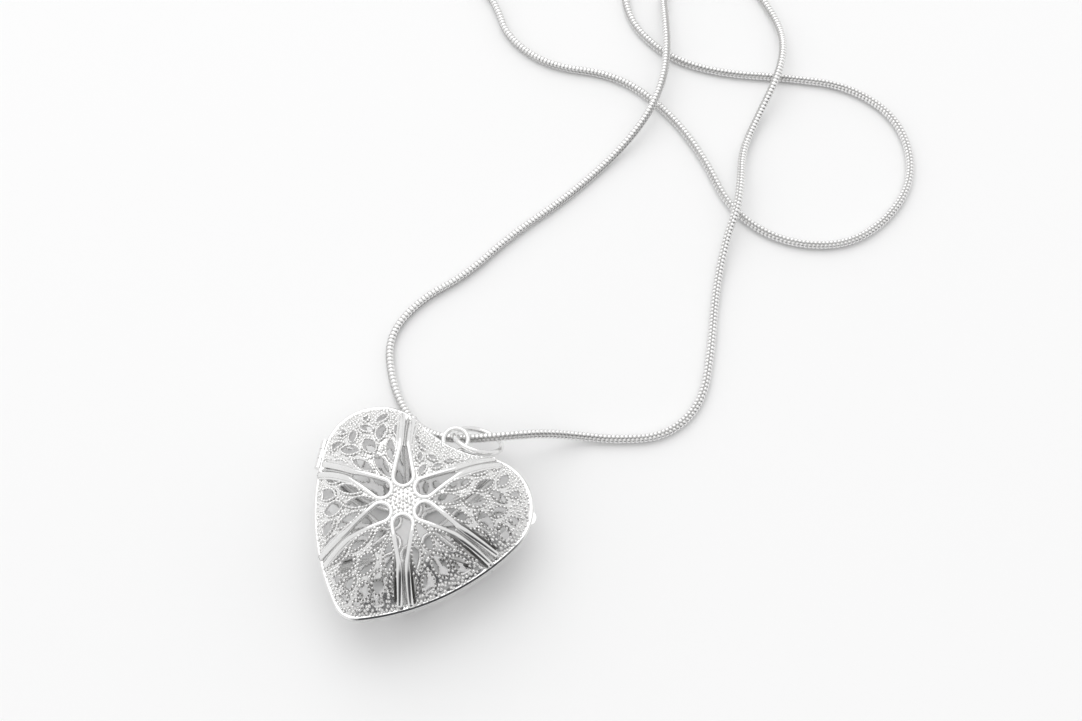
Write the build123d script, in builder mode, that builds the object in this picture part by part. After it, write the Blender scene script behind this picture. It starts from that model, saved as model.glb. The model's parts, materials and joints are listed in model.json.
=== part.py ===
from build123d import *
import math
import os

# Filigree heart locket on a snake chain, in millimetres.
# +Z up, out of the locket's front. +Y towards the bail. The locket lies on the back of its rear half, on z = 0.
# The origin is on that plane, under the middle of the box round the locket, its bail and its jump ring.

# heart outline
heart_y = -2.2           # the heart's own middle, behind the origin
heart_width = 28.1
lobe_top = 13.05         # from the heart's middle to the top of a lobe
lobe_r = 6.9
cleft_y = 11.8           # bottom of the cleft
tip_y = -13.15           # lowest point of the heart
tip_r = 3.0
side_r = 30.0
star_y = 1.3             # middle of the star, above the heart's middle

# section of one half
split_z = 6.2            # parting plane of the two halves
parting_gap = 0.02       # each rim stands this far off the parting plane
rim_h = 0.7
rim_inner = 0.92         # inner edge of the rim, as a share of the outline
rim_edge = 0.2           # chamfer of a rim's outer edge
dome_base = 0.965        # where the dome stands on the rim
dome_flat = 0.30         # flat middle of the dome
wall = 0.6
star_proud = 0.25        # star wires stand this much above the panels
dome_rise = split_z - rim_h - star_proud
dome_steps = 5

# star of six loops
petals = 6
petal_root = 3.0         # middle of a loop's round end, from the middle of the star
window_r = 0.95
wire = 0.6
window_end = 7.4
window_end_r = 0.15
ridge_width = 1.1
ridge_reach = 20.0       # past the rim, cut off by it
rosette_r = 1.5

# filigree panels
leaf_count = 6
leaf_length = 2.6
leaf_width = 1.0
leaf_ring = 2.05         # middle of a leaf, from the middle of its flower
flower_reach = 8.85      # middle of a flower, from the middle of the star
cleft_panel = 1          # the panel under the cleft has no room for a flower
panel_gap = 0.01

# hinge
hinge_angle = 18.0       # below the lobe's level
hinge_shift = 0.8        # barrel's middle, down along its own axis
hinge_r = 0.55
hinge_out = 0.12         # barrel's middle, outside the lobe
hinge_gap = 0.20         # barrel to the notch in the rims
pin_r = 0.25
pin_clearance = 0.04
knuckle = 1.2
knuckle_gap = 0.06
leaf_z_gap = 0.05

# catch
tongue_width = 2.4
tongue_depth = 0.75
tongue_clearance = 0.006  # as a share of the outline
tongue_inner = 0.895
keeper_width = 4.4
keeper_slot_gap = 0.15
tab_r = 1.0
tab_out = 0.35           # past the rim's edge
tab_thick = 0.4

# rings
bail_r = 1.55
bail_wire = 0.30
bail_lift = 1.30         # bail's middle above the cleft
bail_drop = 0.42         # bail's middle under the parting plane
jump_r = 3.10
jump_wire = 0.35
jump_middle = (2.25, 14.76, 4.56)         # from the heart's middle, height from the table
jump_across = (0.8879, 0.3670, -0.2775)   # a direction in the ring's plane
jump_normal = (0.0612, -0.6919, -0.7194)

# chain and its ends
chain_d = 1.2
cap_r = 1.05
cap_length = 4.0
cap_z = 1.3
cap_depth = 2.0
cap_clearance = 0.06
cap_edge = 0.15
eye_r = 1.05
eye_wire = 0.33
link_r = 2.00
link_wire = 0.27
link_z = 1.70
link_tilt = 45.0
link_slack = 0.1         # a ring's wire past the middle of an eye
cap_to_eye = 1.15

# lobster clasp: places run from the first cap's mouth
clasp_z = 1.5
clasp_thick = 1.6
clasp_edge = 0.3
hook_at = 9.6
hook_off = 0.5           # hook's middle beside the line of the caps
hook_r = 2.7
hook_hole = 1.95
gate_start = 8.4
gate_end = 13.0
gate_drop = 0.9          # top of the gate, from the hook's middle
slot_start = 10.8
slot_end = 15.4
slot_top = 0.3
slot_depth = 4.4
tail_at = 16.2
tail_r = 1.5
tail_eye_at = 18.35
lever_thick = 0.8
lever_gap = 0.08
lever_pin_at = (13.6, -1.3)
lever_root_r = 0.75
lever_tip_at = (8.95, -2.55)
lever_tip_r = 0.45
thumb_at = (11.3, -2.9)
thumb_r = 0.6
clasp_pin_r = 0.35
spring_wide = 0.6
spring_thick = 0.2

# chain route: from the bottom of one cap, through its bends, to the bottom of the other
chain_route = [
    (-19.22, 104.96, 1.3),
    (-15.86, 106.51, 1.3),
    (-12.3, 105.4, 0.9),
    (-10.4, 102.0, 0.6),
    (-10.8, 97.4, 0.6),
    (-10.4, 92.6, 0.7),
    (-7.6, 87.4, 2.4),
    (-4.3, 81.4, 2.8),
    (-2.2, 75.2, 2.8),
    (-1.8, 68.6, 2.2),
    (-3.4, 61.4, 0.6),
    (-6.2, 52.0, 0.6),
    (-10.0, 43.2, 0.6),
    (-12.4, 34.6, 0.6),
    (-16.0, 28.4, 0.6),
    (-17.0, 21.6, 0.6),
    (-13.4, 16.2, 0.6),
    (-9.0, 12.6, 0.6),
    (-4.6, 11.2, 1.7),
    (-0.6, 11.8, 3.3),
    (2.8, 13.3, 4.5),
    (5.9, 15.2, 4.9),
    (9.2, 18.0, 3.4),
    (12.6, 20.6, 0.9),
    (17.2, 22.6, 0.6),
    (22.6, 26.0, 0.6),
    (24.8, 32.4, 0.6),
    (22.4, 40.4, 0.6),
    (19.0, 49.0, 0.6),
    (17.0, 56.4, 1.6),
    (16.4, 61.2, 2.8),
    (15.0, 65.4, 2.8),
    (12.6, 71.6, 0.9),
    (12.2, 78.6, 1.2),
    (12.2, 83.4, 2.8),
    (11.2, 89.0, 2.8),
    (8.6, 94.6, 1.0),
    (3.6, 99.0, 0.6),
    (-0.4, 101.4, 0.6),
    (-4.6, 102.2, 1.0),
    (-8.6, 101.2, 2.7),
    (-12.6, 98.8, 2.8),
    (-15.6, 95.4, 1.6),
    (-16.4, 91.4, 0.7),
    (-14.4, 87.6, 0.6),
    (-10.4, 84.0, 0.6),
    (-3.4, 81.8, 0.6),
    (4.2, 83.0, 0.6),
    (12.4, 86.6, 0.6),
    (22.0, 90.0, 0.6),
    (31.4, 87.4, 0.6),
    (37.0, 77.8, 0.6),
    (34.0, 65.4, 0.6),
    (25.0, 60.2, 0.6),
    (15.6, 61.4, 0.6),
    (7.6, 68.6, 0.6),
    (-1.0, 73.4, 0.6),
    (-10.0, 75.2, 0.6),
    (-19.4, 71.8, 0.6),
    (-27.4, 73.6, 0.6),
    (-32.0, 78.4, 0.6),
    (-36.6, 81.2, 0.6),
    (-41.4, 83.5, 0.6),
    (-44.6, 86.4, 0.7),
    (-45.5, 90.1, 0.9),
    (-44.1, 93.48, 1.3),
    (-40.74, 95.03, 1.3),
]


def on_circle(middle, radius, towards):
    """Point of a circle in the direction of another point."""
    dx = towards[0] - middle[0]
    dy = towards[1] - middle[1]
    reach = math.hypot(dx, dy)
    return (middle[0] + dx / reach * radius, middle[1] + dy / reach * radius)


def between(middle, radius, start, end):
    """Point of an arc half way from start to end."""
    a = (start[0] + end[0]) / 2
    b = (start[1] + end[1]) / 2
    return on_circle(middle, radius, (a, b))


def heart(share=1.0):
    """The heart's outline, scaled about the middle of the star: arcs that meet in tangents."""
    lobe = (heart_width / 2 - lobe_r, lobe_top - lobe_r)
    tip = (0, tip_y + tip_r)
    drop = cleft_y - lobe[1]
    cleft_r = (lobe[0] ** 2 + drop ** 2 - lobe_r ** 2) / (2 * (lobe_r - drop))
    cleft = (0, cleft_y + cleft_r)
    # the side arc's middle is a known distance from the middles of the lobe and the tip
    to_lobe = side_r - lobe_r
    to_tip = side_r - tip_r
    gap = math.dist(lobe, tip)
    along = (to_tip ** 2 - to_lobe ** 2 + gap ** 2) / (2 * gap)
    off = math.sqrt(to_tip ** 2 - along ** 2)
    ux = (lobe[0] - tip[0]) / gap
    uy = (lobe[1] - tip[1]) / gap
    side = (tip[0] + ux * along - uy * off, tip[1] + uy * along + ux * off)
    bottom = (0, tip_y)
    low = on_circle(side, side_r, tip)
    high = on_circle(side, side_r, lobe)
    top = on_circle(lobe, lobe_r, cleft)
    notch = (0, cleft_y)
    outer = (lobe[0] + lobe_r * math.cos(math.pi / 4), lobe[1] + lobe_r * math.sin(math.pi / 4))

    def at(point):
        return (point[0] * share, star_y + (point[1] - star_y) * share)

    with BuildSketch() as outline:
        with BuildLine():
            ThreePointArc(at(bottom), at(between(tip, tip_r, bottom, low)), at(low))
            ThreePointArc(at(low), at(between(side, side_r, low, high)), at(high))
            ThreePointArc(at(high), at(outer), at(top))
            ThreePointArc(at(top), at(between(cleft, cleft_r, top, notch)), at(notch))
            mirror(about=Plane.YZ)
        make_face()
    return outline.sketch


def teardrop(round_r, end_at, end_r):
    """One loop of the star, along X from the middle of the star."""
    with BuildSketch() as drop:
        with Locations((petal_root, 0)):
            Circle(round_r)
        with Locations((end_at, 0)):
            Circle(end_r)
        make_hull()
    return drop.sketch


def heart_plane(z):
    return Plane((0, heart_y, z))


def star_plane(z):
    return Plane((0, heart_y + star_y, z))


def dome(lift):
    """Shell of the front dome, raised by lift, with an even wall in height."""
    base = split_z + rim_h + lift
    with BuildPart() as solid:
        for step in range(dome_steps + 1):
            share = dome_base + (dome_flat - dome_base) * step / dome_steps
            fall = (share - dome_flat) / (dome_base - dome_flat)
            with BuildSketch(heart_plane(base + dome_rise * (1 - fall ** 2))):
                add(heart(share))
        loft()
    thick = wall + lift
    with BuildPart() as shell:
        add(solid.part)
        add(solid.part.moved(Location((0, 0, -thick))), mode=Mode.SUBTRACT)
    return shell.part


def mirrored(part):
    """The same piece on the rear half."""
    with BuildPart() as rear:
        mirror(part, about=Plane.XY.offset(split_z))
    return rear.part


def save(part, name):
    part.label = name
    export_step(part, f"parts/{name}.step")


os.makedirs("parts", exist_ok=True)
tall = split_z * 2

# place of the hinge: its plane has X towards the heart and Y up, and its Z is the pin's own line
lobe_middle = (heart_width / 2 - lobe_r, lobe_top - lobe_r)
lean = math.radians(hinge_angle)
out = (-math.cos(lean), -math.sin(lean))
along_pin = (math.sin(lean), -math.cos(lean))
off_lobe = lobe_r + hinge_out
hinge_at = (
    -lobe_middle[0] + out[0] * off_lobe + along_pin[0] * hinge_shift,
    heart_y + lobe_middle[1] + out[1] * off_lobe + along_pin[1] * hinge_shift,
    split_z,
)
barrel = 3 * knuckle + 2 * knuckle_gap
leaf_reach = hinge_r + 2 * hinge_gap
leaf_thick = rim_h - rim_edge - leaf_z_gap


def hinge_plane(along):
    return Plane(hinge_at, x_dir=(-out[0], -out[1], 0), z_dir=(along_pin[0], along_pin[1], 0)).offset(along)


# rims, notched round the barrel
bail_middle = (0, heart_y + cleft_y + bail_lift, split_z - bail_drop)

with BuildPart() as front_rim:
    with BuildSketch(heart_plane(split_z + parting_gap)):
        add(heart())
        add(heart(rim_inner), mode=Mode.SUBTRACT)
    extrude(amount=rim_h - parting_gap)
    chamfer(front_rim.faces().sort_by(Axis.Z)[-1].outer_wire().edges(), rim_edge)
    with BuildSketch(hinge_plane(-barrel / 2 - knuckle_gap)):
        Circle(hinge_r + hinge_gap)
    extrude(amount=barrel + 2 * knuckle_gap, mode=Mode.SUBTRACT)

with BuildPart() as bail_ring:
    with BuildSketch(Plane(bail_middle, x_dir=(1, 0, 0), z_dir=(0, 1, 0))):
        with Locations((bail_r, 0)):
            Circle(bail_wire)
    revolve(axis=Axis(bail_middle, (0, 0, 1)))

with BuildPart() as rear_rim:
    mirror(front_rim.part, about=Plane.XY.offset(split_z))
    add(bail_ring.part, mode=Mode.SUBTRACT)

# star, rosette and panels
panel_dome = dome(0)
star_dome = dome(star_proud)
petal_blank = teardrop(window_r + wire, window_end, ridge_width / 2)
petal_window = teardrop(window_r, window_end, window_end_r)

with BuildSketch() as star_plan:
    with PolarLocations(0, petals):
        add(petal_blank)
    with PolarLocations((window_end + ridge_reach) / 2, petals):
        Rectangle(ridge_reach - window_end, ridge_width)
    with PolarLocations(0, petals):
        add(petal_window, mode=Mode.SUBTRACT)

with BuildSketch() as star_shadow:
    with PolarLocations(0, petals):
        add(petal_blank)
    with PolarLocations((window_end + ridge_reach) / 2, petals):
        Rectangle(ridge_reach - window_end, ridge_width + 2 * panel_gap)
    Circle(petal_root)

with BuildPart() as front_star:
    with BuildSketch(star_plane(split_z)):
        add(star_plan.sketch)
    extrude(amount=tall)
    add(star_dome, mode=Mode.INTERSECT)

with BuildPart() as front_rosette:
    with BuildSketch(star_plane(split_z + rim_h + dome_rise - wall)):
        Circle(rosette_r)
        add(star_plan.sketch, mode=Mode.SUBTRACT)
    extrude(amount=wall + star_proud / 2)

panels = []
for number in range(petals):
    turn = 180 / petals + number * 360 / petals
    under_cleft = number == cleft_panel
    with BuildPart() as panel:
        with BuildSketch(star_plane(split_z)):
            with BuildLine(Location((0, 0, 0), (0, 0, turn))):
                half = math.radians(180 / petals)
                far = (ridge_reach * math.cos(half), ridge_reach * math.sin(half))
                Polyline((0, 0), far, (far[0], -far[1]), close=True)
            make_face()
            add(star_shadow.sketch, mode=Mode.SUBTRACT)
            if not under_cleft:
                with Locations(Location((0, 0, 0), (0, 0, turn)) * Location((flower_reach, 0, 0))):
                    with PolarLocations(leaf_ring, leaf_count):
                        Ellipse(leaf_length / 2, leaf_width / 2, mode=Mode.SUBTRACT)
        extrude(amount=tall)
        add(panel_dome, mode=Mode.INTERSECT)
    panels.append(panel.part)

save(front_rim.part, "front_rim")
save(front_star.part, "front_star")
save(front_rosette.part, "front_rosette")
save(rear_rim.part, "rear_rim")
save(mirrored(front_star.part), "rear_star")
save(mirrored(front_rosette.part), "rear_rosette")
for number, part in enumerate(panels, 1):
    save(part, f"front_panel_{number}")
    save(mirrored(part), f"rear_panel_{number}")
save(bail_ring.part, "bail_ring")

# hinge
with BuildPart() as hinge_pin:
    with BuildSketch(hinge_plane(-barrel / 2)):
        Circle(pin_r)
    extrude(amount=barrel)

with BuildPart() as rear_knuckles:
    for start in (-barrel / 2, barrel / 2 - knuckle):
        with BuildSketch(hinge_plane(start)):
            Circle(hinge_r)
            with Locations((leaf_reach / 2, -leaf_z_gap - leaf_thick / 2)):
                Rectangle(leaf_reach, leaf_thick)
            Circle(pin_r, mode=Mode.SUBTRACT)
        extrude(amount=knuckle)
    add(rear_rim.part, mode=Mode.SUBTRACT)

with BuildPart() as front_knuckle:
    with BuildSketch(hinge_plane(-knuckle / 2)):
        Circle(hinge_r)
        with Locations((leaf_reach / 2, leaf_z_gap + leaf_thick / 2)):
            Rectangle(leaf_reach, leaf_thick)
        Circle(pin_r + pin_clearance, mode=Mode.SUBTRACT)
    extrude(amount=knuckle)
    add(front_rim.part, mode=Mode.SUBTRACT)

# catch, straight across from the hinge
catch_at = Location(
    (lobe_middle[0] - out[0] * lobe_r, lobe_middle[1] - out[1] * lobe_r, 0),
    (0, 0, hinge_angle),
)

with BuildPart() as catch_tongue:
    with BuildSketch(heart_plane(split_z + parting_gap)):
        add(heart(rim_inner))
        add(heart(tongue_inner), mode=Mode.SUBTRACT)
        with Locations(catch_at):
            Rectangle(2 * lobe_r, tongue_width, mode=Mode.INTERSECT)
    extrude(amount=rim_h - 2 * parting_gap)
    with BuildSketch(heart_plane(split_z + parting_gap)):
        add(heart(rim_inner - tongue_clearance))
        add(heart(tongue_inner), mode=Mode.SUBTRACT)
        with Locations(catch_at):
            Rectangle(2 * lobe_r, tongue_width, mode=Mode.INTERSECT)
    extrude(amount=-tongue_depth)

with BuildPart() as catch_keeper:
    with BuildSketch(heart_plane(split_z - parting_gap)):
        add(heart(rim_inner))
        add(heart(tongue_inner), mode=Mode.SUBTRACT)
        with Locations(catch_at):
            Rectangle(2 * lobe_r, keeper_width, mode=Mode.INTERSECT)
            Rectangle(2 * lobe_r, tongue_width + 2 * keeper_slot_gap, mode=Mode.SUBTRACT)
    extrude(amount=-(rim_h - 2 * parting_gap))

with BuildPart() as thumb_tab:
    with BuildSketch(heart_plane(split_z + leaf_z_gap)):
        with Locations(catch_at * Location((tab_out - tab_r, 0, 0))):
            Circle(tab_r)
        add(heart(), mode=Mode.SUBTRACT)
    extrude(amount=tab_thick)

# jump ring
jump_plane = Plane(
    (jump_middle[0], heart_y + jump_middle[1], jump_middle[2]),
    x_dir=jump_across,
    z_dir=jump_normal,
)


def ring(plane, radius, section):
    """A round wire ring in a plane."""
    with BuildPart() as loop:
        with BuildSketch(Plane(plane.origin, x_dir=plane.x_dir, z_dir=plane.y_dir)):
            with Locations((radius, 0)):
                Circle(section)
        revolve(axis=Axis(plane.origin, plane.z_dir))
    return loop.part


jump_ring = ring(jump_plane, jump_r, jump_wire)

# chain: straight runs joined by arcs as large as the runs allow
radii = []
length = 0
for before, here, after in zip(chain_route, chain_route[1:], chain_route[2:]):
    run_in = Vector(*here) - Vector(*before)
    run_out = Vector(*after) - Vector(*here)
    half = math.radians(run_in.get_angle(run_out)) / 2
    radii.append(0.45 * min(run_in.length, run_out.length) / math.tan(half))
with BuildLine() as route:
    FilletPolyline(*chain_route, radius=radii)
for edge in route.edges():
    length += edge.length

start_dir = Vector(*chain_route[1]) - Vector(*chain_route[0])
with BuildPart() as chain:
    with BuildSketch(Plane(chain_route[0], z_dir=start_dir)):
        Circle(chain_d / 2)
    sweep(path=route.wires()[0])
print("chain radii:", [round(radius, 1) for radius in radii])
print(f"chain length {length:.1f}, volume {chain.part.volume:.2f}")
print(f"section times length {math.pi * chain_d ** 2 / 4 * length:.2f}")

# clasp and the ends of the chain: X runs from the first cap's mouth to the second one's
across = (Vector(*chain_route[-1]) - Vector(*chain_route[0])).normalized()
first = Vector(*chain_route[0]) - across * cap_depth
last = Vector(*chain_route[-1]) + across * cap_depth


def clasp_plane(z):
    return Plane((first.X, first.Y, z), x_dir=(across.X, across.Y, 0), z_dir=(0, 0, 1))


def at_clasp(x, y, z):
    """A plane of the clasp, moved to a point of it."""
    plane = clasp_plane(z)
    return Plane(plane.from_local_coords((x, y, 0)), x_dir=plane.x_dir, z_dir=(0, 0, 1))


def leaning(middle, z, turn, radius, section):
    """A wire ring that leans to one side by turn."""
    flat = at_clasp(middle, 0, z)
    tilt = math.radians(turn)
    normal = flat.z_dir * math.cos(tilt) - flat.y_dir * math.sin(tilt)
    return ring(Plane(flat.origin, x_dir=flat.x_dir, z_dir=normal), radius, section)


def eye(middle, z):
    return leaning(middle, z, link_tilt - 90, eye_r, eye_wire)


def end_cap(mouth, way):
    """A cup on the chain's end, with an eye. way is 1 or -1, from the mouth to the eye."""
    axis = clasp_plane(cap_z)
    side = Plane(axis.from_local_coords((mouth, 0, 0)), x_dir=axis.y_dir, z_dir=axis.x_dir * way)
    with BuildPart() as cap:
        with BuildSketch(side):
            Circle(cap_r)
        extrude(amount=cap_length)
        chamfer(cap.edges().filter_by(GeomType.CIRCLE), cap_edge)
        with BuildSketch(side):
            Circle(chain_d / 2 + cap_clearance)
        extrude(amount=cap_depth, mode=Mode.SUBTRACT)
        add(eye(mouth + way * (cap_length + cap_to_eye), cap_z))
    return cap.part


def link(middle):
    return leaning(middle, link_z, link_tilt, link_r, link_wire)


end_cap_1 = end_cap(0, 1)
end_cap_2 = end_cap((last - first).length, -1)
tag_ring = link(cap_length + cap_to_eye + link_slack + link_r)
clasp_ring = link(tail_eye_at + link_slack + link_r)

with BuildPart() as clasp_body:
    with BuildSketch(clasp_plane(clasp_z - clasp_thick / 2)):
        with Locations((hook_at, -hook_off)):
            Circle(hook_r)
        with Locations((tail_at, -hook_off / 4)):
            Circle(tail_r)
        make_hull()
    extrude(amount=clasp_thick)
    chamfer(clasp_body.faces().filter_by(Axis.Z).edges(), clasp_edge)
    with BuildSketch(clasp_plane(0)):
        with Locations((hook_at, -hook_off)):
            Circle(hook_hole)
        with Locations(((gate_start + gate_end) / 2, -hook_off - gate_drop - hook_r / 2)):
            Rectangle(gate_end - gate_start, hook_r)
        with Locations(lever_pin_at):
            Circle(clasp_pin_r)
    extrude(amount=tall, mode=Mode.SUBTRACT)
    with BuildSketch(clasp_plane(clasp_z - lever_thick / 2 - lever_gap)):
        with Locations(((slot_start + slot_end) / 2, slot_top - slot_depth / 2)):
            Rectangle(slot_end - slot_start, slot_depth)
    extrude(amount=lever_thick + 2 * lever_gap, mode=Mode.SUBTRACT)
    add(eye(tail_eye_at, clasp_z))

with BuildPart() as clasp_lever:
    with BuildSketch(clasp_plane(clasp_z - lever_thick / 2)):
        with Locations(lever_pin_at):
            Circle(lever_root_r)
        with Locations(lever_tip_at):
            Circle(lever_tip_r)
        make_hull()
        with Locations(thumb_at):
            Circle(thumb_r)
        with Locations(lever_pin_at):
            Circle(clasp_pin_r + pin_clearance, mode=Mode.SUBTRACT)
    extrude(amount=lever_thick)

with BuildPart() as clasp_pin:
    with BuildSketch(clasp_plane(clasp_z - clasp_thick / 2)):
        with Locations(lever_pin_at):
            Circle(clasp_pin_r)
    extrude(amount=clasp_thick)

with BuildPart() as clasp_spring:
    with BuildSketch(clasp_plane(clasp_z - spring_wide / 2)):
        spring_start = lever_pin_at[0] + lever_root_r + lever_gap
        with Locations(((spring_start + slot_end) / 2, lever_pin_at[1])):
            Rectangle(slot_end - spring_start, spring_thick)
    extrude(amount=spring_wide)

save(hinge_pin.part, "hinge_pin")
save(rear_knuckles.part, "rear_knuckles")
save(front_knuckle.part, "front_knuckle")
save(catch_tongue.part, "catch_tongue")
save(catch_keeper.part, "catch_keeper")
save(thumb_tab.part, "thumb_tab")
save(jump_ring, "jump_ring")
save(chain.part, "chain")
save(end_cap_1, "end_cap_1")
save(end_cap_2, "end_cap_2")
save(tag_ring, "tag_ring")
save(clasp_ring, "clasp_ring")
save(clasp_body.part, "clasp_body")
save(clasp_lever.part, "clasp_lever")
save(clasp_pin.part, "clasp_pin")
save(clasp_spring.part, "clasp_spring")
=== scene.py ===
# Openwork silver heart locket on a snake chain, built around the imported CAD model, in metres.
import bmesh
import bpy
import json
import math
import numpy as np
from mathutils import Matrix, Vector


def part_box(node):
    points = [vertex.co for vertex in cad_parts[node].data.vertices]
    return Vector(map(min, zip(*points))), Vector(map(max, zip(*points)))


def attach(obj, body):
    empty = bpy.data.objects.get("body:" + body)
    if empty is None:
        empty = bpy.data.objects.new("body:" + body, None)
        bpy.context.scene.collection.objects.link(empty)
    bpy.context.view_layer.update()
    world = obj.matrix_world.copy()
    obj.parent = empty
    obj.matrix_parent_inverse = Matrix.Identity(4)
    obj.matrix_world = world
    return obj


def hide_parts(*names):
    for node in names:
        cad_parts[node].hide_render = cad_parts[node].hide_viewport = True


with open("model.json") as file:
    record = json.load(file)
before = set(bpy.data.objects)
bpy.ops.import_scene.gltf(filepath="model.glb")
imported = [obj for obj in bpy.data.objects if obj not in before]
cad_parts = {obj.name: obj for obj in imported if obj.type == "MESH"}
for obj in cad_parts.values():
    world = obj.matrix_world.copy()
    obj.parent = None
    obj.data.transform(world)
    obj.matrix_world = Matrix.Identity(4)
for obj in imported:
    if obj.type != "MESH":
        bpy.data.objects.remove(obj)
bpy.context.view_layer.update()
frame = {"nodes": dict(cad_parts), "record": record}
scene = bpy.context.scene
mm = 0.001
rng = np.random.default_rng(7)
print("frame loaded:", len(frame["nodes"]), "CAD nodes")


camera = {
    "lens": 44.63,
    "place": (0.04047, -0.04142, 0.16242),
    "tilt": 26.0,
    "turn": 28.35,
}


def makeCamera():
    data = bpy.data.cameras.new("camera")
    data.lens = camera["lens"]
    data.clip_start = 0.005
    eye = bpy.data.objects.new("camera", data)
    eye.location = camera["place"]
    eye.rotation_euler = (math.radians(camera["tilt"]), 0, math.radians(camera["turn"]))
    scene.collection.objects.link(eye)
    scene.camera = eye


makeCamera()


# A socket that can be used in an expression.
class Value:
    def __init__(self, tree, socket):
        self.tree = tree
        self.socket = socket

    def join(self, kind, other, swap=False):
        values = [other, self] if swap else [self, other]
        return self.tree.node("ShaderNodeMath", {"operation": kind}, values)

    def __add__(self, other):
        return self.join("ADD", other)

    def __radd__(self, other):
        return self.join("ADD", other, True)

    def __rsub__(self, other):
        return self.join("SUBTRACT", other, True)

    def __mul__(self, other):
        return self.join("MULTIPLY", other)

    def __rmul__(self, other):
        return self.join("MULTIPLY", other, True)


class Tree:
    def __init__(self, owner):
        owner.use_nodes = True
        self.nodes = owner.node_tree.nodes
        self.links = owner.node_tree.links
        self.nodes.clear()

    # Adds a node. values are a list, or a dictionary by socket name, of numbers or Values.
    def node(self, kind, settings=None, values=(), out=0):
        made = self.nodes.new(kind)
        for name, value in (settings or {}).items():
            if name == "stops":
                self.setStops(made, value)
            else:
                setattr(made, name, value)
        pairs = values.items() if isinstance(values, dict) else enumerate(values)
        for where, value in pairs:
            if isinstance(value, Value):
                self.links.new(value.socket, made.inputs[where])
            else:
                made.inputs[where].default_value = value
        if not made.outputs:
            return made
        return Value(self, made.outputs[out])

    def setStops(self, ramp, stops):
        elements = ramp.color_ramp.elements
        for place, colour in stops[len(elements):]:
            elements.new(place)
        for element, (place, colour) in zip(elements, stops):
            element.position = place
            element.color = (*colour, 1)

    def mix(self, share, first, second):
        kind = {"data_type": "RGBA"}
        return self.node("ShaderNodeMix", kind, {0: share, 6: first, 7: second}, out=2)


# Each finish goes from its top colour to its dark colour by a value on the mesh that is mostly painted
# shade, in the chain's seams, under the beads and towards the lower right of the heart, with some tone of
# its own.
finishes = {
    "silver_bright": {
        "top": (0.84, 0.838, 0.834, 1),
        "darkColour": (0.10, 0.098, 0.095, 1),
        "rough": 0.10,
        "roughMore": 0.12,
        "bump": 0.06,
        "grain": 900.0,
        "paintedGlow": (0, 0, 0, 1),
    },
    "silver_filigree": {
        "top": (0.94, 0.937, 0.932, 1),
        "darkColour": (0.13, 0.125, 0.12, 1),
        "rough": 0.16,
        "roughMore": 0.20,
        "bump": 0.10,
        "grain": 1600.0,
        "paintedGlow": (0.13, 0.13, 0.132, 1),
    },
    "silver_chain": {
        "top": (0.94, 0.937, 0.932, 1),
        "darkColour": (0.44, 0.435, 0.43, 1),
        "rough": 0.16,
        "roughMore": 0.14,
        "bump": 0.05,
        "grain": 1400.0,
        "paintedGlow": (0, 0, 0, 1),
    },
    "spring_steel": {
        "top": (0.62, 0.62, 0.63, 1),
        "darkColour": (0.40, 0.40, 0.41, 1),
        "rough": 0.28,
        "roughMore": 0.15,
        "bump": 0.08,
        "grain": 1200.0,
        "paintedGlow": (0, 0, 0, 1),
    },
}


def makeFinish(slotName):
    look = finishes[slotName]
    material = bpy.data.materials.new(slotName)
    tree = Tree(material)
    place = tree.node("ShaderNodeTexCoord", out=3)
    cloud = tree.node("ShaderNodeTexNoise", {}, {"Vector": place, "Scale": look["grain"] / 4, "Detail": 3.0})
    fine = tree.node("ShaderNodeTexNoise", {}, {"Vector": place, "Scale": look["grain"], "Detail": 2.0})
    hollow = tree.node("ShaderNodeAttribute", {"attribute_name": "hollow"}, out=2)
    # Painted shade, with some tone of its own, read from the mesh and broken up by noise.
    paintedShadeAndTone = hollow * (0.75 + 0.5 * cloud)
    colour = tree.mix(paintedShadeAndTone, look["top"], look["darkColour"])
    inside = tree.node("ShaderNodeAttribute", {"attribute_name": "inside"}, out=2)
    rough = look["rough"] + look["roughMore"] * (cloud * 0.6 + hollow * 0.8) + 0.3 * inside
    bump = tree.node("ShaderNodeBump", {}, {"Strength": look["bump"], "Distance": 0.00004, "Height": fine})
    shader = tree.node("ShaderNodeBsdfPrincipled", {}, {
        "Base Color": colour,
        "Metallic": 1.0 - 0.95 * inside,
        "Roughness": rough,
        "Normal": bump,
        # Painted glow on the inner faces, standing for light bounced about inside the locket.
        "Emission Color": tree.mix(inside, (0, 0, 0, 1), look["paintedGlow"]),
        "Emission Strength": 1.0,
    })
    tree.node("ShaderNodeOutputMaterial", {}, {"Surface": shader})
    return material


materials = {name: makeFinish(name) for name in finishes}
print("finishes made:", len(materials))


# A shape is points in millimetres and faces. It may also have a value for each point, mostly painted shade
# with some tone of its own, and then an inside value. This makes several shapes into one.
def joined(shapes):
    points, faces, shadesAndTones, insides = [], [], [], []
    start = 0
    for shape in shapes:
        own = np.asarray(shape[0], float)
        points.append(own)
        faces += [tuple(int(i) + start for i in face) for face in shape[1]]
        shadesAndTones.append(shape[2] if len(shape) > 2 else np.zeros(len(own)))
        insides.append(shape[3] if len(shape) > 3 else np.zeros(len(own)))
        start += len(own)
    return np.concatenate(points), faces, np.concatenate(shadesAndTones), np.concatenate(insides)


def makePiece(name, shape, slotName, body, nodes):
    points, faces, shadesAndTones, insides = shape
    mesh = bpy.data.meshes.new(name)
    mesh.from_pydata((points * mm).tolist(), [], faces)
    mesh.polygons.foreach_set("use_smooth", [True] * len(mesh.polygons))
    for kind, values in (("hollow", shadesAndTones), ("inside", insides)):
        attribute = mesh.attributes.new(kind, "FLOAT", "POINT")
        attribute.data.foreach_set("value", np.clip(values, 0, 1).astype(np.float32))
    mesh.materials.append(materials[slotName])
    mesh.update()
    piece = bpy.data.objects.new(name, mesh)
    scene.collection.objects.link(piece)
    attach(piece, body)
    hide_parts(*nodes)
    return piece


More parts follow.
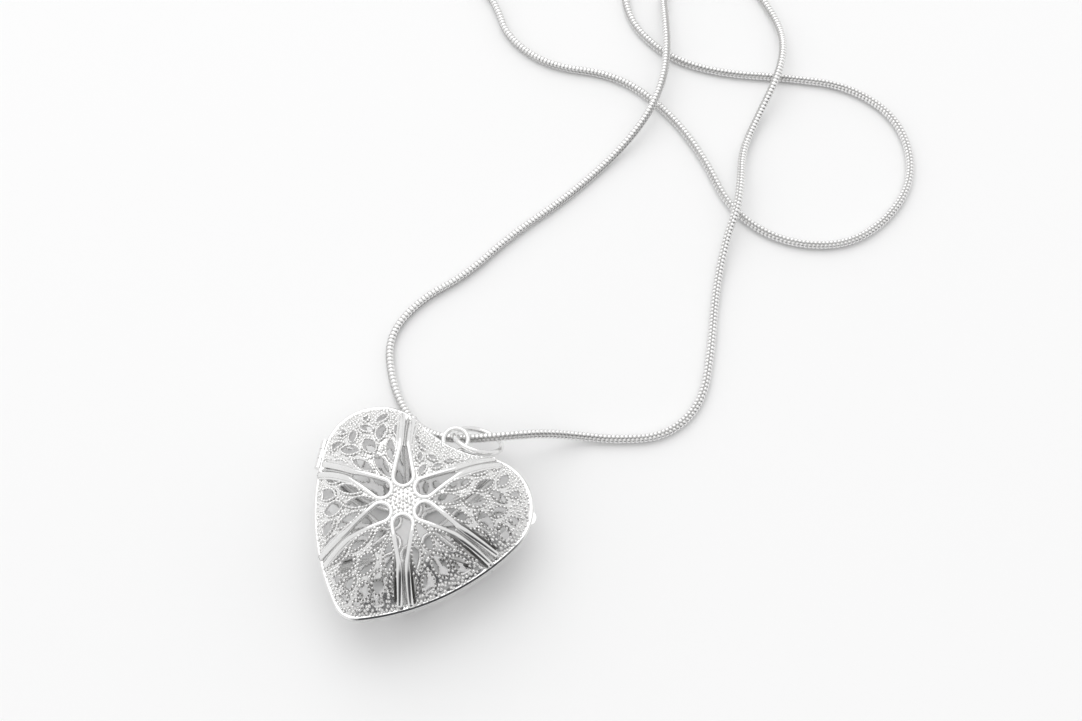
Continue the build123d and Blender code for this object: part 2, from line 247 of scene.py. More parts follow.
# Points round a wire's section. square under 1 flattens its top and sides.
def roundSection(sides, wide, high, square=1.0):
    turns = np.arange(sides) * 2 * math.pi / sides
    across = np.sign(np.cos(turns)) * np.abs(np.cos(turns)) ** square * wide
    up = np.sign(np.sin(turns)) * np.abs(np.sin(turns)) ** square * high
    return across, up


# A wire along a line that lies on a surface with these normals. scale makes its section vary.
def wire(line, normals, section, scale=None):
    line = np.asarray(line, float)
    ahead = np.roll(line, -1, 0) - np.roll(line, 1, 0)
    ahead[0] = line[1] - line[0]
    ahead[-1] = line[-1] - line[-2]
    ahead /= np.linalg.norm(ahead, axis=1)[:, None]
    side = np.cross(ahead, normals)
    side /= np.linalg.norm(side, axis=1)[:, None]
    up = np.cross(side, ahead)
    across, rise = section
    sides = len(across)
    count = len(line)
    size = np.ones(count) if scale is None else scale
    points = (line[:, None] + side[:, None] * (across[None] * size[:, None])[..., None]
              + up[:, None] * (rise[None] * size[:, None])[..., None])
    faces = []
    for i in range(count - 1):
        for k in range(sides):
            n = (k + 1) % sides
            faces.append((i * sides + k, (i + 1) * sides + k, (i + 1) * sides + n, i * sides + n))
    faces.append(tuple(range(sides)))
    faces.append(tuple((count - 1) * sides + k for k in reversed(range(sides))))
    return points.reshape(-1, 3), faces


# A small ball as points and faces, one unit in radius.
def ballShape():
    mesh = bmesh.new()
    bmesh.ops.create_icosphere(mesh, subdivisions=1, radius=1.0)
    points = np.array([v.co for v in mesh.verts])
    faces = np.array([[v.index for v in f.verts] for f in mesh.faces])
    mesh.free()
    return points, faces


ball = ballShape()


# Many balls as one shape, with painted shade towards their undersides.
def balls(centres, radii, addedShadeAndTone=0.0):
    points, faces = ball
    centres = np.asarray(centres, float).reshape(-1, 3)
    radii = np.asarray(radii, float).reshape(-1)
    every = centres[:, None] + points[None] * radii[:, None, None]
    offsets = (np.arange(len(centres)) * len(points))[:, None, None]
    # Painted shade on the lower half of each ball.
    low = np.tile(np.clip(-points[:, 2] * 0.35, 0, 1), len(centres))
    low = low + np.repeat(np.broadcast_to(addedShadeAndTone, len(centres)), len(points))
    return every.reshape(-1, 3), (faces[None] + offsets).reshape(-1, 3), low


chain = {
    "diameter": 1.2,
    "length": 424.6,
    "pitch": 0.56,
    "plateRows": 5,
    "plateSides": 8,
    "plateLong": 0.98,      # length of a half shell, as a share of the pitch
    "plateOverlap": 5.0,    # degrees that a half shell reaches past the seam
    "plateEdge": 0.17,      # fall of a shell towards its own edges
    "seamFall": 0.34,
    "core": 0.62,           # inner tube, as a share of the outer radius
    "seamTurns": 1.35,      # slow turns of the seam over the whole length
    "route": [
        (-19.22, 104.96, 1.3),
        (-15.86, 106.51, 1.3),
        (-12.3, 105.4, 0.9),
        (-10.4, 102.0, 0.6),
        (-10.8, 97.4, 0.6),
        (-10.4, 92.6, 0.7),
        (-7.6, 87.4, 2.4),
        (-4.3, 81.4, 2.8),
        (-2.2, 75.2, 2.8),
        (-1.8, 68.6, 2.2),
        (-3.4, 61.4, 0.6),
        (-6.2, 52.0, 0.6),
        (-10.0, 43.2, 0.6),
        (-12.4, 34.6, 0.6),
        (-16.0, 28.4, 0.6),
        (-17.0, 21.6, 0.6),
        (-13.4, 16.2, 0.6),
        (-9.0, 12.6, 0.6),
        (-4.6, 11.2, 1.7),
        (-0.6, 11.8, 3.3),
        (2.8, 13.3, 4.5),
        (5.9, 15.2, 4.9),
        (9.2, 18.0, 3.4),
        (12.6, 20.6, 0.9),
        (17.2, 22.6, 0.6),
        (22.6, 26.0, 0.6),
        (24.8, 32.4, 0.6),
        (22.4, 40.4, 0.6),
        (19.0, 49.0, 0.6),
        (17.0, 56.4, 1.6),
        (16.4, 61.2, 2.8),
        (15.0, 65.4, 2.8),
        (12.6, 71.6, 0.9),
        (12.2, 78.6, 1.2),
        (12.2, 83.4, 2.8),
        (11.2, 89.0, 2.8),
        (8.6, 94.6, 1.0),
        (3.6, 99.0, 0.6),
        (-0.4, 101.4, 0.6),
        (-4.6, 102.2, 1.0),
        (-8.6, 101.2, 2.7),
        (-12.6, 98.8, 2.8),
        (-15.6, 95.4, 1.6),
        (-16.4, 91.4, 0.7),
        (-14.4, 87.6, 0.6),
        (-10.4, 84.0, 0.6),
        (-3.4, 81.8, 0.6),
        (4.2, 83.0, 0.6),
        (12.4, 86.6, 0.6),
        (22.0, 90.0, 0.6),
        (31.4, 87.4, 0.6),
        (37.0, 77.8, 0.6),
        (34.0, 65.4, 0.6),
        (25.0, 60.2, 0.6),
        (15.6, 61.4, 0.6),
        (7.6, 68.6, 0.6),
        (-1.0, 73.4, 0.6),
        (-10.0, 75.2, 0.6),
        (-19.4, 71.8, 0.6),
        (-27.4, 73.6, 0.6),
        (-32.0, 78.4, 0.6),
        (-36.6, 81.2, 0.6),
        (-41.4, 83.5, 0.6),
        (-44.6, 86.4, 0.7),
        (-45.5, 90.1, 0.9),
        (-44.1, 93.48, 1.3),
        (-40.74, 95.03, 1.3),
    ],
}


# Points down the middle of the chain, in millimetres, close together.
def chainLine():
    curve = bpy.data.curves.new("chainRoute", "CURVE")
    curve.dimensions = "3D"
    curve.resolution_u = 24
    spline = curve.splines.new("NURBS")
    spline.points.add(len(chain["route"]) - 1)
    for point, place in zip(spline.points, chain["route"]):
        point.co = (*[value * mm for value in place], 1)
    spline.order_u = 3
    spline.use_endpoint_u = True
    holder = bpy.data.objects.new("chainRoute", curve)
    mesh = bpy.data.meshes.new_from_object(holder)
    line = np.array([v.co for v in mesh.vertices]) / mm
    bpy.data.meshes.remove(mesh)
    bpy.data.curves.remove(curve)
    return line


def alongLine(line, distances):
    steps = np.linalg.norm(np.diff(line, axis=0), axis=1)
    reached = np.concatenate([[0], np.cumsum(steps)])
    return np.stack([np.interp(distances, reached, line[:, k]) for k in range(3)], axis=1)


# Place, side and up of the chain at each distance along its line.
def lineFrames(line, distances):
    places = alongLine(line, distances)
    ahead = alongLine(line, distances + 0.05) - alongLine(line, distances - 0.05)
    ahead /= np.linalg.norm(ahead, axis=1)[:, None]
    side = np.cross(ahead, (0, 0, 1.0))
    side /= np.linalg.norm(side, axis=1)[:, None]
    return places, side, np.cross(side, ahead)


def chainShape(line):
    radius = chain["diameter"] / 2
    total = np.linalg.norm(np.diff(line, axis=0), axis=1).sum()
    count = int(total / chain["pitch"])
    pitch = total / count
    rows = np.linspace(-0.5, 0.5, chain["plateRows"])
    spread = math.pi / 2 + math.radians(chain["plateOverlap"])
    turns = np.linspace(-spread, spread, chain["plateSides"] + 1)
    grid = len(turns)
    faces = []
    for r in range(len(rows) - 1):
        for k in range(grid - 1):
            faces.append((r * grid + k, r * grid + k + 1, (r + 1) * grid + k + 1, (r + 1) * grid + k))
    shapes = []
    edge = np.abs(turns) / spread
    for half in (0, 1):
        starts = (np.arange(count - half) + 0.5 + 0.5 * half) * pitch
        middles = np.repeat(starts, len(rows)) + np.tile(rows, len(starts)) * pitch * chain["plateLong"]
        middles = np.clip(middles, 0.01, total - 0.01)
        places, side, up = lineFrames(line, middles)
        seam = middles / total * chain["seamTurns"] * 2 * math.pi
        angle = seam[:, None] + turns[None] + math.pi * half
        bulge = 1 - chain["plateEdge"] * (np.abs(np.tile(rows, len(starts))) * 2) ** 3
        fall = 1 - chain["seamFall"] * edge ** 4
        reach = radius * bulge[:, None] * fall[None]
        points = (places[:, None] + side[:, None] * (np.cos(angle) * reach)[..., None]
                  + up[:, None] * (np.sin(angle) * reach)[..., None])
        base = np.array(faces)
        per = len(rows) * grid
        every = base[None] + (np.arange(len(starts)) * per)[:, None, None]
        # Painted shade: each shell darkens where it falls in towards its edges and the seam.
        dark = np.clip((1 - reach / radius) * 3.6, 0, 1)
        shapes.append((points.reshape(-1, 3), every.reshape(-1, 4), dark.reshape(-1)))
    steps = np.linspace(0, total, int(total / 0.7))
    up = lineFrames(line, np.clip(steps, 0.06, total - 0.06))[2]
    core = wire(alongLine(line, steps), up, roundSection(8, radius * chain["core"], radius * chain["core"]))
    # The inner tube is painted fully dark, as painted shade in the gaps between the shells.
    shapes.append((*core, np.ones(len(core[0]))))
    return joined(shapes)


middleLine = chainLine()
chainPiece = makePiece("snake_chain", chainShape(middleLine), "silver_chain", "back_half", ["chain"])
print("chain made:", len(chainPiece.data.polygons), "faces")


rimBox = [np.array(corner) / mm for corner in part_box("front_rim")]
rearRimBox = [np.array(corner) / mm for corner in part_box("rear_rim")]
starBox = [np.array(corner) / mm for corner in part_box("front_star")]

locket = {
    "lobeRadius": 6.9,
    "tipRadius": 3.0,
    "sideRadius": 30.0,
    "cleftDepth": 1.25,     # below the top of the lobes
    "starBelowTop": 11.75,
    "domeBase": 0.965,
    "domeFlat": 0.30,
    "starProud": 0.25,
    "halfWidth": (rimBox[1][0] - rimBox[0][0]) / 2,
    "top": rimBox[1][1],
    "tip": rimBox[0][1],
    "rimTop": rimBox[1][2],
    "crown": starBox[1][2],
    "split": (rimBox[0][2] + rearRimBox[1][2]) / 2,
}
starAt = np.array([0.0, locket["top"] - locket["starBelowTop"]])


# Points of an arc from one angle to another, in radians.
def arcPoints(middle, radius, start, end, count):
    turns = np.linspace(start, end, count)
    return np.stack([middle[0] + radius * np.cos(turns), middle[1] + radius * np.sin(turns)], axis=1)


def angleTo(middle, point):
    return math.atan2(point[1] - middle[1], point[0] - middle[0])


# Right half of the outline, from the tip to the cleft, about the middle of the star.
def heartOutline():
    r, tipR, sideR = locket["lobeRadius"], locket["tipRadius"], locket["sideRadius"]
    lobe = np.array([locket["halfWidth"] - r, locket["top"] - r]) - starAt
    tip = np.array([0, locket["tip"] + tipR]) - starAt
    notch = locket["top"] - locket["cleftDepth"] - starAt[1]
    drop = notch - lobe[1]
    cleftR = (lobe[0] ** 2 + drop ** 2 - r ** 2) / (2 * (r - drop))
    cleft = np.array([0, notch + cleftR])
    toLobe, toTip = sideR - r, sideR - tipR
    gap = np.linalg.norm(lobe - tip)
    along = (toTip ** 2 - toLobe ** 2 + gap ** 2) / (2 * gap)
    off = math.sqrt(toTip ** 2 - along ** 2)
    ux, uy = (lobe - tip) / gap
    side = tip + np.array([ux * along - uy * off, uy * along + ux * off])
    low, high, top = angleTo(side, tip), angleTo(side, lobe), angleTo(lobe, cleft)
    return np.concatenate([
        arcPoints(tip, tipR, -math.pi / 2, low, 12),
        arcPoints(side, sideR, low, high, 40)[1:],
        arcPoints(lobe, r, high, top, 60)[1:],
        arcPoints(cleft, cleftR, angleTo(cleft, lobe), -math.pi / 2, 12)[1:],
    ])


rightHalf = heartOutline()
outline = np.concatenate([rightHalf, rightHalf[-2:0:-1] * (-1, 1)])
outlineTurns = np.arctan2(outline[:, 1], outline[:, 0])
outlineOrder = np.argsort(outlineTurns)
outlineReach = np.linalg.norm(outline, axis=1)[outlineOrder]
outlineTurns = outlineTurns[outlineOrder]


# How far out a point is, from 0 in the middle of the star to 1 on the outline.
def shareOf(x, y):
    reach = np.interp(np.arctan2(y, x), outlineTurns, outlineReach, period=2 * math.pi)
    return np.hypot(x, y) / reach


# Height of the front dome over the table, at a place about the middle of the star.
def domeHeight(x, y):
    fall = (shareOf(x, y) - locket["domeFlat"]) / (locket["domeBase"] - locket["domeFlat"])
    rise = locket["crown"] - locket["starProud"] - locket["rimTop"]
    return locket["rimTop"] + rise * (1 - np.clip(fall, 0, 1) ** 2)


# Points on the front dome, and its normals there.
def onDome(x, y, lift=0.0):
    x, y = np.asarray(x, float), np.asarray(y, float)
    step = 0.05
    slopeX = (domeHeight(x + step, y) - domeHeight(x - step, y)) / (2 * step)
    slopeY = (domeHeight(x, y + step) - domeHeight(x, y - step)) / (2 * step)
    normals = np.stack([-slopeX, -slopeY, np.ones_like(slopeX)], axis=-1)
    normals /= np.linalg.norm(normals, axis=-1)[..., None]
    points = np.stack([x, y + starAt[1], domeHeight(x, y)], axis=-1)
    return points + normals * lift, normals


# The same shape on the rear half, turned over the parting plane.
def onRear(shape):
    points, faces, shadesAndTones, insides = shape
    points = points * (1, 1, -1) + (0, 0, 2 * locket["split"])
    return points, [tuple(reversed(face)) for face in faces], shadesAndTones, insides


star = {
    "petals": 6,
    "root": 3.0,            # middle of a loop's round end, from the middle of the star
    "loopRadius": 1.25,     # to the middle of the wire
    "joinAt": 7.4,          # where the two sides of a loop run on side by side
    "joinHalf": 0.50,
    "rimHalf": 0.66,
    "wireHalf": 0.31,
    "wireHigh": 0.36,
    "armWider": 1.35,       # the ridges' section, as a share of the loop's
    "widenOver": 1.5,
    "square": 0.72,
    "groove": 0.13,         # thin wire between the two ridges
    "flankWide": 0.17,      # low strip outside each ridge, darkened by painted shade towards the lower right
    "flankHigh": 0.30,
    "flankOut": 0.44,
    "flankBefore": 1.0,     # where a strip starts, before the loop's sides join
    "flankLonger": 0.6,
    "flankContrast": 2.0,
    "flankFloor": 0.62,
    "ridgePoints": 30,
    "grooveDark": 0.25,
    "grooveBefore": 0.3,    # where the thin wire starts, before the loop's sides join
    "shadeBase": 0.22,
    "shadeSlope": 0.07,     # for each millimetre towards the dark side
    "shadeTowards": (0.8, -0.6),
    "endShare": 0.955,
}


def turned(points, degrees):
    a = math.radians(degrees)
    return points @ np.array([[math.cos(a), math.sin(a)], [-math.sin(a), math.cos(a)]])


def armReach(degrees):
    a = math.radians(degrees)
    return float(np.interp(a, outlineTurns, outlineReach, period=2 * math.pi)) * star["endShare"]


# Middle of one loop's wire: in from the rim, round the loop and out again.
def petalLine(degrees):
    reach = armReach(degrees)
    narrow = math.asin((star["loopRadius"] - star["joinHalf"]) / (star["joinAt"] - star["root"]))
    out = np.linspace(reach, star["joinAt"], 26)
    run = (out - star["joinAt"]) / (reach - star["joinAt"])
    flare = star["joinHalf"] + (star["rimHalf"] - star["joinHalf"]) * run ** 2
    upper = np.stack([out, flare], axis=1)
    tangent = (star["root"] + star["loopRadius"] * math.sin(narrow), star["loopRadius"] * math.cos(narrow))
    share = np.linspace(0, 1, 14)[1:, None]
    side = upper[-1] * (1 - share) + np.array(tangent) * share
    bend = arcPoints((star["root"], 0), star["loopRadius"], math.pi / 2 - narrow, math.pi, 14)[1:]
    half = np.concatenate([upper, side, bend])
    return turned(np.concatenate([half, half[-2::-1] * (1, -1)]), degrees)


# From 0 to 1: how much painted shade the silver gets towards the lower right of the heart.
def shadeSide(x, y):
    towards = star["shadeTowards"]
    return np.clip(star["shadeBase"] + star["shadeSlope"] * (towards[0] * x + towards[1] * y), 0, 1)


def starShape():
    section = roundSection(12, star["wireHalf"], star["wireHigh"], star["square"])
    thin = roundSection(8, star["groove"], star["groove"])
    flank = roundSection(8, star["flankWide"], star["flankHigh"])
    shapes = []
    for number in range(star["petals"]):
        degrees = number * 360 / star["petals"]
        line = petalLine(degrees)
        points, normals = onDome(line[:, 0], line[:, 1], locket["starProud"] - star["wireHigh"])
        out = np.hypot(line[:, 0], line[:, 1]) - star["joinAt"]
        size = 1 + (star["armWider"] - 1) * np.clip(out / star["widenOver"] + 0.5, 0, 1)
        shapes.append(wire(points, normals, section, scale=size))
        out = np.linspace(star["joinAt"] - star["grooveBefore"], armReach(degrees), star["ridgePoints"])
        middle = turned(np.stack([out, np.zeros(len(out))], axis=1), degrees)
        points, normals = onDome(middle[:, 0], middle[:, 1], 0.0)
        groove = wire(points, normals, thin)
        shapes.append((*groove, np.full(len(groove[0]), star["grooveDark"])))
        for way in (-1, 1):
            share = np.linspace(0, 1, star["ridgePoints"])
            run = armReach(degrees) - star["joinAt"] + star["flankLonger"]
            out = star["joinAt"] - star["flankBefore"] + share * run
            aside = star["joinHalf"] + (star["rimHalf"] - star["joinHalf"]) * share ** 2 + star["flankOut"]
            strip = turned(np.stack([out, way * aside], axis=1), degrees)
            points, normals = onDome(strip[:, 0], strip[:, 1], 0.0)
            # Painted shade: the strips darken only towards the lower right of the heart.
            shade = star["flankContrast"] * shadeSide(strip[:, 0], strip[:, 1]) - star["flankFloor"]
            paintedShadeAndTone = np.repeat(np.clip(shade, 0, 1), len(flank[0]))
            shapes.append((*wire(points, normals, flank), paintedShadeAndTone))
    return joined(shapes)


# Distance outside the nearest loop of the star, under zero inside a loop or its ridges.
def petalGap(x, y):
    best = np.full(np.shape(x), 99.0)
    for number in range(star["petals"]):
        a = math.radians(number * 360 / star["petals"])
        u = x * math.cos(a) + y * math.sin(a)
        v = np.abs(-x * math.sin(a) + y * math.cos(a))
        share = np.clip((u - star["root"]) / (star["joinAt"] - star["root"]), 0, 1)
        half = star["loopRadius"] + (star["joinHalf"] - star["loopRadius"]) * share
        far = np.where(u < star["root"], np.hypot(u - star["root"], v) - half, v - half)
        best = np.minimum(best, far)
    return best


filigree = {
    "sheet": 0.24,          # thickness of the pierced sheet
    "cell": 0.21,
    "rosette": 2.35,
    "edgeShare": 0.975,
    "openShare": 0.905,     # openings stop here, before the rim
    "bead": 0.20,
    "beadStep": 0.44,
    "beadVary": 0.20,
    "shadeBead": 0.12,           # small bead between two bright ones, darkened by painted shade towards the lower right
    "grain": 0.225,
    "grainStep": 0.43,
    "grainShake": 0.28,
    "grainDark": 0.12,      # most of a granule's own random tone
    "sheetDark": 0.05,
    "sheetShade": 0.16,
    "reach": 15.6,          # a little past the longest panel
    "halfReach": 8.6,
    "beadLift": 0.09,
    "shadeBeadLift": 0.16,
    "grainLift": 0.02,
    "beadApart": 0.29,
    "grainApart": 0.34,     # from a bead
    "grainInset": 0.10,     # from an edge
    "shareReach": 12,       # millimetres for one share, near the rim
}


# An opening is its place along the panel, its place across, its length, its width and its turn in degrees.
# Openings beside the middle line of a panel, with the same ones on its other side.
def bothSides(openings):
    others = [(along, -across, length, width, -turn) for along, across, length, width, turn in openings]
    return openings + others


fan = [(5.15, 0.0, 4.0, 1.4, 0)] + bothSides([(6.55, 1.9, 3.5, 1.2, 25)])
lobePanel = fan + [(8.5, 0.0, 2.6, 1.7, 0)] + bothSides(
    [(9.6, 2.15, 2.9, 1.4, 38), (9.1, 4.2, 2.9, 1.2, 36), (11.3, 0.95, 2.3, 1.15, -28)]
    + [(11.9, 3.3, 2.4, 1.15, 62), (11.0, 5.6, 2.0, 1.0, 75), (13.3, 1.7, 1.9, 0.9, 25)])
sidePanel = fan + [(8.5, 0.0, 2.6, 1.8, 0)] + bothSides(
    [(9.5, 2.2, 2.9, 1.5, 30), (8.9, 4.1, 2.8, 1.3, 40), (11.0, 0.95, 2.0, 1.15, 70)]
    + [(11.0, 3.2, 2.2, 1.1, 70)])
tipPanel = fan + [(8.5, 0.0, 2.7, 1.8, 0)] + bothSides(
    [(9.5, 2.2, 2.5, 1.7, 16), (8.9, 4.1, 2.8, 1.3, 40), (11.1, 1.0, 1.9, 1.3, 10)]
    + [(11.4, 2.9, 1.8, 1.2, 50), (12.7, 0.95, 1.3, 1.0, 80)])
cleftPanel = [(4.5, 0.0, 1.7, 0.9, 0), (6.7, 0.0, 1.5, 0.9, 90)] + bothSides(
    [(5.9, 1.25, 1.6, 0.8, 30), (7.6, 1.9, 1.3, 0.7, 55), (8.3, 3.3, 1.3, 0.7, 60)])
panelOpenings = [lobePanel, cleftPanel, lobePanel, sidePanel, tipPanel, sidePanel]


# Distance outside one leaf-shaped opening.
def openingGap(x, y, opening):
    along, across, length, width, turn = opening
    a = math.radians(turn)
    u = (x - along) * math.cos(a) + (y - across) * math.sin(a)
    v = -(x - along) * math.sin(a) + (y - across) * math.cos(a)
    radius = (length ** 2 + width ** 2) / (4 * width)
    off = radius - width / 2
    return np.maximum(np.hypot(u, v - off), np.hypot(u, v + off)) - radius


# Evenly spaced points round one opening, in the panel's own place.
def openingLine(opening, step):
    along, across, length, width, turn = opening
    radius = (length ** 2 + width ** 2) / (4 * width)
    half = math.asin(min(1, length / 2 / radius))
    count = max(3, round(2 * half * radius / step))
    turns = np.linspace(-half, half, count, endpoint=False)
    upper = np.stack([radius * np.sin(turns), radius * np.cos(turns) - (radius - width / 2)], axis=1)
    points = np.concatenate([upper, -upper])
    return turned(points, turn) + (along, across)


# Distance outside the panel, where x runs along its middle and y across it. Openings aren't counted.
def panelGap(x, y, number):
    half = 180 / star["petals"]
    a = math.radians(half)
    wedge = np.maximum(y * math.cos(a) - x * math.sin(a), -y * math.cos(a) - x * math.sin(a))
    degrees = half + number * 2 * half
    whole = turned(np.stack([x, y], axis=-1), degrees)
    petals = -petalGap(whole[..., 0], whole[..., 1])
    rim = (shareOf(whole[..., 0], whole[..., 1]) - filigree["edgeShare"]) * filigree["shareReach"]
    rosette = filigree["rosette"] - np.hypot(x, y)
    return np.maximum.reduce([wedge, petals, rim, rosette])


# A thin sheet over the cells where gap(x, y) is under zero, with its edge drawn in to that line.
def sheetShape(gap, low, high, place):
    cell = filigree["cell"]
    xs = np.arange(low[0], high[0] + cell, cell)
    ys = np.arange(low[1], high[1] + cell, cell)
    x, y = np.meshgrid(xs, ys, indexing="ij")
    far = gap(x, y)
    inside = far < 0.55 * cell
    kept = inside[:-1, :-1] & inside[1:, :-1] & inside[1:, 1:] & inside[:-1, 1:]
    step = cell / 4
    dx = (gap(x + step, y) - gap(x - step, y)) / (2 * step)
    dy = (gap(x, y + step) - gap(x, y - step)) / (2 * step)
    size = np.maximum(dx ** 2 + dy ** 2, 0.25)
    over = np.clip(far, 0, cell)
    x, y = x - over * dx / size, y - over * dy / size
    number = np.arange(x.size).reshape(x.shape)
    i, j = np.nonzero(kept)
    quads = np.stack([number[i, j], number[i + 1, j], number[i + 1, j + 1], number[i, j + 1]], axis=1)
    used, quads = np.unique(quads, return_inverse=True)
    quads = quads.reshape(-1, 4)
    x, y = x.ravel()[used], y.ravel()[used]
    whole = turned(np.stack([x, y], axis=1), place)
    top, normals = onDome(whole[:, 0], whole[:, 1], -0.02)
    under = top - normals * filigree["sheet"]
    count = len(top)
    edges = np.concatenate([quads[:, [0, 1]], quads[:, [1, 2]], quads[:, [2, 3]], quads[:, [3, 0]]])
    keys = {(int(a), int(b)) for a, b in edges}
    rimEdges = [(a, b) for a, b in sorted(keys) if (b, a) not in keys]
    faces = [tuple(int(k) for k in quad) for quad in quads]
    faces += [tuple(int(k) + count for k in quad[::-1]) for quad in quads]
    faces += [(b, a, a + count, b + count) for a, b in rimEdges]
    # Painted shade towards the lower right of the heart, over an even light tone.
    paintedShadeAndTone = filigree["sheetDark"] + filigree["sheetShade"] * shadeSide(whole[:, 0], whole[:, 1])
    dark = np.concatenate([paintedShadeAndTone, np.zeros(count)])
    inner = np.concatenate([np.zeros(count), np.ones(count)])
    return np.concatenate([top, under]), faces, dark, inner


# Places of loose granules: a shaken six-sided grid, off the openings and off what is already there.
def grainPlaces(gap, low, high, step, taken):
    xs = np.arange(low[0], high[0], step)
    ys = np.arange(low[1], high[1], step * math.sqrt(3) / 2)
    x, y = np.meshgrid(xs, ys, indexing="ij")
    x = x + (np.arange(len(ys)) % 2)[None] * step / 2
    shake = filigree["grainShake"] * step
    x = x + rng.uniform(-shake, shake, x.shape)
    y = y + rng.uniform(-shake, shake, y.shape)
    places = np.stack([x.ravel(), y.ravel()], axis=1)
    places = places[gap(places[:, 0], places[:, 1]) < -filigree["grainInset"]]
    if len(taken) and len(places):
        near = np.linalg.norm(places[:, None] - taken[None], axis=2).min(axis=1)
        places = places[near > filigree["grainApart"]]
    return places


def beadsOn(places, degrees, radius, lift, dark=0.0):
    whole = turned(places, degrees)
    points, normals = onDome(whole[:, 0], whole[:, 1], lift)
    radii = radius * (1 + rng.uniform(-1, 1, len(points)) * filigree["beadVary"])
    # Painted shade towards the lower right, scaled by dark, plus a random tone for each bead.
    shade = shadeSide(whole[:, 0], whole[:, 1])
    return balls(points, radii, dark * shade + rng.uniform(0, filigree["grainDark"], len(points)))


def panelShape(number):
    half = 180 / star["petals"]
    degrees = half + number * 2 * half
    openings = panelOpenings[number]

    def border(x, y):
        whole = turned(np.stack([x, y], axis=-1), degrees)
        return (shareOf(whole[..., 0], whole[..., 1]) - filigree["openShare"]) * filigree["shareReach"]

    def gap(x, y):
        far = panelGap(x, y, number)
        for opening in openings:
            far = np.maximum(far, -np.maximum(openingGap(x, y, opening), border(x, y)))
        return far

    low = (filigree["rosette"] * 0.8, -filigree["halfReach"])
    high = (filigree["reach"], filigree["halfReach"])
    shapes = [sheetShape(gap, low, high, degrees)]
    edging = []
    shadeBeads = []
    for opening in openings:
        line = openingLine(opening, filigree["beadStep"])
        between = (line + np.roll(line, -1, 0)) / 2
        for kept, places in ((edging, line), (shadeBeads, between)):
            free = panelGap(places[:, 0], places[:, 1], number) < -0.05
            free &= border(places[:, 0], places[:, 1]) < 0
            for other in openings:
                if other is not opening:
                    free &= openingGap(places[:, 0], places[:, 1], other) > -0.02
            for place in places[free]:
                if all(np.hypot(*(place - other)) > filigree["beadApart"] for other in kept):
                    kept.append(place)
    edging = np.array(edging)
    shapes.append(beadsOn(edging, degrees, filigree["bead"], filigree["beadLift"]))
    # Small beads between the edge beads, darkened by painted shade towards the lower right.
    shapes.append(beadsOn(np.array(shadeBeads), degrees, filigree["shadeBead"], filigree["shadeBeadLift"], 1.0))
    grains = grainPlaces(gap, low, high, filigree["grainStep"], edging)
    if len(grains):
        shapes.append(beadsOn(grains, degrees, filigree["grain"], filigree["grainLift"]))
    return joined(shapes)


def rosetteShape():
    def gap(x, y):
        return np.maximum(np.hypot(x, y) - filigree["rosette"], -petalGap(x, y))

    low, high = (-2.6, -2.6), (2.6, 2.6)
    shapes = [sheetShape(gap, low, high, 0)]
    rings = [np.zeros((1, 2))]
    for radius, count in ((0.5, 6), (1.0, 12), (1.5, 18)):
        rings.append(arcPoints((0, 0), radius, 0, 2 * math.pi, count + 1)[:-1])
    for turn in range(30, 360, 60):
        rings.append(turned(np.array([(2.0, -0.45), (2.0, 0), (2.0, 0.45)]), turn))
    places = np.concatenate(rings)
    places = places[gap(places[:, 0], places[:, 1]) < 0.02]
    shapes.append(beadsOn(places, 0, filigree["grain"] * 1.05, 0.05))
    return joined(shapes)


front = starShape()
makePiece("front_star_wire", front, "silver_bright", "front_half", ["front_star"])
makePiece("rear_star_wire", onRear(front), "silver_bright", "back_half", ["rear_star"])
rosette = rosetteShape()
makePiece("front_rosette_beads", rosette, "silver_filigree", "front_half", ["front_rosette"])
makePiece("rear_rosette_beads", onRear(rosette), "silver_filigree", "back_half", ["rear_rosette"])
for number in range(star["petals"]):
    panel = panelShape(number)
    for side, body, shape in (("front", "front_half", panel), ("rear", "back_half", onRear(panel))):
        node = f"{side}_panel_{number + 1}"
        makePiece(f"{side}_filigree_{number + 1}", shape, "silver_filigree", body, [node])
print("star and filigree made")


# CAD nodes that still show get the same finishes.
slotOf = {entry["node"]: entry["material_slot"] for entry in frame["record"]["subparts"]}
for name, node in frame["nodes"].items():
    node.data.materials.clear()
    node.data.materials.append(materials[slotOf[name]])


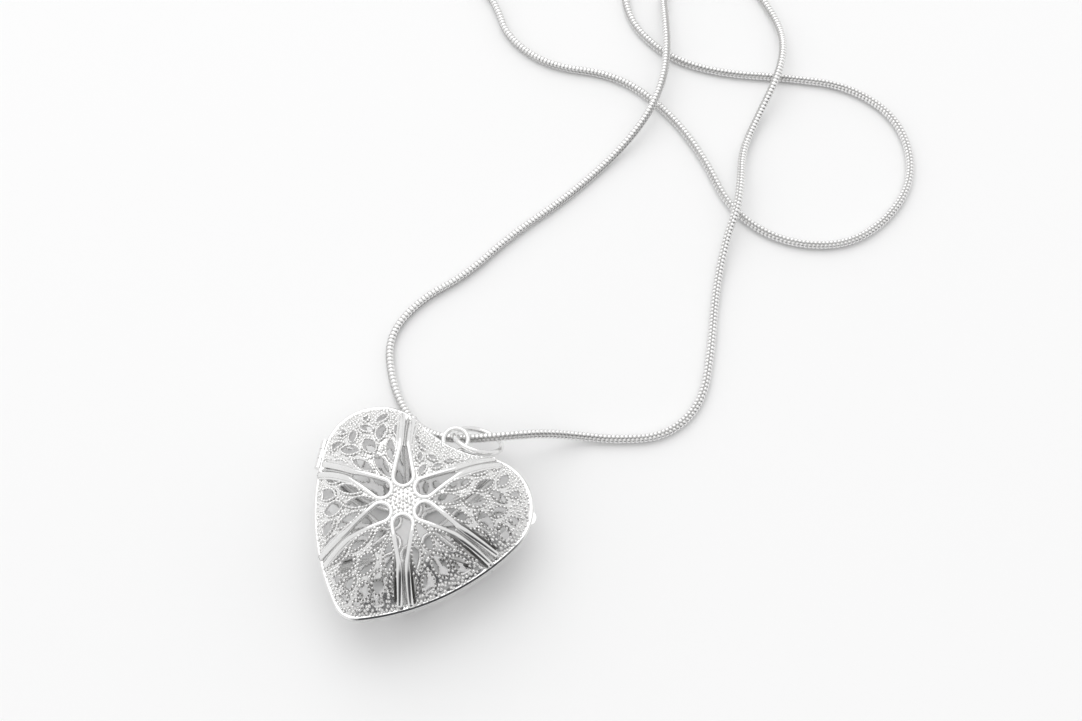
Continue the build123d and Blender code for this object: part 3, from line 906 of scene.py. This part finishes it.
studio = {
    "floorHalf": 1.5,
    "floorColour": (0.93, 0.93, 0.93, 1),
    "keyPower": 3.0,
    "keySize": 1.1,
    "keyPlace": (-0.42, 0.48, 0.78),
    "aim": (0.0, 0.03, 0.0),
    "sky": 0.94,
    "dim": (0.80, -0.60, -0.05),     # the side of the room that stays dark
}


def makeFloor():
    half = studio["floorHalf"]
    mesh = bpy.data.meshes.new("floor")
    corners = [(-half, -half, 0), (half, -half, 0), (half, half, 0), (-half, half, 0)]
    mesh.from_pydata(corners, [], [(0, 1, 2, 3)])
    material = bpy.data.materials.new("paper")
    tree = Tree(material)
    values = {"Base Color": studio["floorColour"], "Roughness": 0.9}
    shader = tree.node("ShaderNodeBsdfPrincipled", {}, values)
    tree.node("ShaderNodeOutputMaterial", {}, {"Surface": shader})
    mesh.materials.append(material)
    floor = bpy.data.objects.new("floor", mesh)
    scene.collection.objects.link(floor)


def makeLight(name, place, size, power):
    data = bpy.data.lights.new(name, "AREA")
    data.shape = "DISK"
    data.size = size
    data.energy = power
    light = bpy.data.objects.new(name, data)
    light.location = place
    light.rotation_euler = (Vector(studio["aim"]) - Vector(place)).to_track_quat("-Z", "Y").to_euler()
    scene.collection.objects.link(light)


def makeWorld():
    world = bpy.data.worlds.new("room")
    scene.world = world
    tree = Tree(world)
    direction = tree.node("ShaderNodeTexCoord", out=0)
    settings = {"operation": "DOT_PRODUCT"}
    toDark = tree.node("ShaderNodeVectorMath", settings, [direction, studio["dim"]], out=1)
    shade = tree.node("ShaderNodeValToRGB", {"stops": [
        (0.0, (1.0, 1.0, 1.0)),
        (0.80, (0.94, 0.94, 0.94)),
        (0.93, (0.08, 0.08, 0.085)),
    ]}, [toDark * 0.5 + 0.5])
    light = tree.node("ShaderNodeBackground", {}, {"Color": shade, "Strength": studio["sky"]})
    tree.node("ShaderNodeOutputWorld", {}, {"Surface": light})


makeFloor()
makeLight("key", studio["keyPlace"], studio["keySize"], studio["keyPower"])
makeWorld()
scene.view_settings.view_transform = "Standard"
print("studio made")
